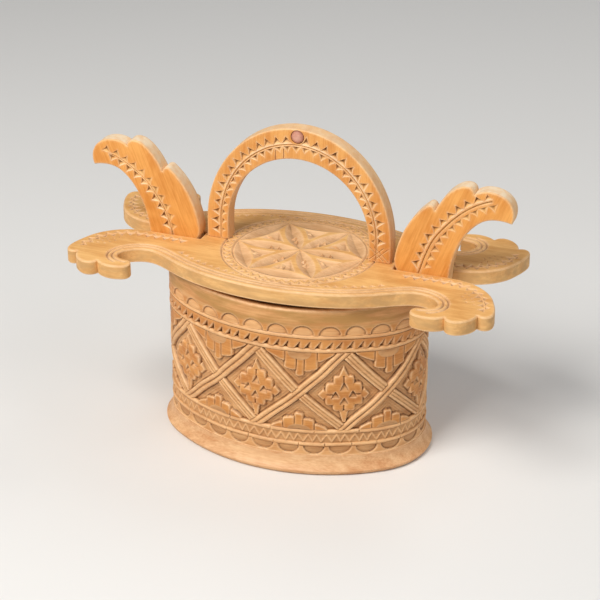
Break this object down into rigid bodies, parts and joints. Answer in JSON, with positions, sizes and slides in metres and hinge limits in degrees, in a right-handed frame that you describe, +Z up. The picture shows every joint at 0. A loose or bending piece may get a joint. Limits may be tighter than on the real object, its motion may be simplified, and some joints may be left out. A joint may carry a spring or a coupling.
{
  "type": "tine box",
  "caption": "Oval carved wooden lidded box on a moulded foot, with a scroll-armed lid gripped between springy leaf posts and lifted by an arched handle.",
  "frame": {"origin": "centre of the object's box, on the table under the foot", "axes": "+X along the box to the right post, +Z up; the pictured front faces -Y"},
  "size_m": [0.2582, 0.1152, 0.1943],
  "materials": {
    "birch_pale": "oiled, hand-carved",
    "birch_gold": "oiled, hand-carved",
    "birch_band": "oiled, relief-carved",
    "peg_wood": "oiled"
  },
  "bodies": {
    "box": {"bottom_board": "birch_pale", "side_band": "birch_band", "base_pegs": "peg_wood", "lap_pegs_back": "peg_wood"},
    "lid": {"lid_board": "birch_pale", "handle": "birch_gold", "left_handle_wedge": "birch_band", "right_handle_wedge": "birch_band", "crown_plug": "peg_wood"},
    "left_post": {"left_post": "birch_gold", "left_post_peg": "peg_wood"},
    "right_post": {"right_post": "birch_gold", "right_post_peg": "peg_wood"}
  },
  "joints": [
    {"name": "lid_lift", "type": "slide", "parent": "box", "child": "lid", "axis": [0, 0, 1], "range_m": [0, 0.07]},
    {"name": "left_post_spring", "type": "hinge", "parent": "box", "child": "left_post", "pos_m": [-0.06753, 0, 0.0231], "axis": [0, -1, 0], "range_deg": [0, 2], "stiffness_Nm_per_rad": 4},
    {"name": "right_post_spring", "type": "hinge", "parent": "box", "child": "right_post", "pos_m": [0.06753, 0, 0.0231], "axis": [0, 1, 0], "range_deg": [0, 2], "stiffness_Nm_per_rad": 4}
  ]
}
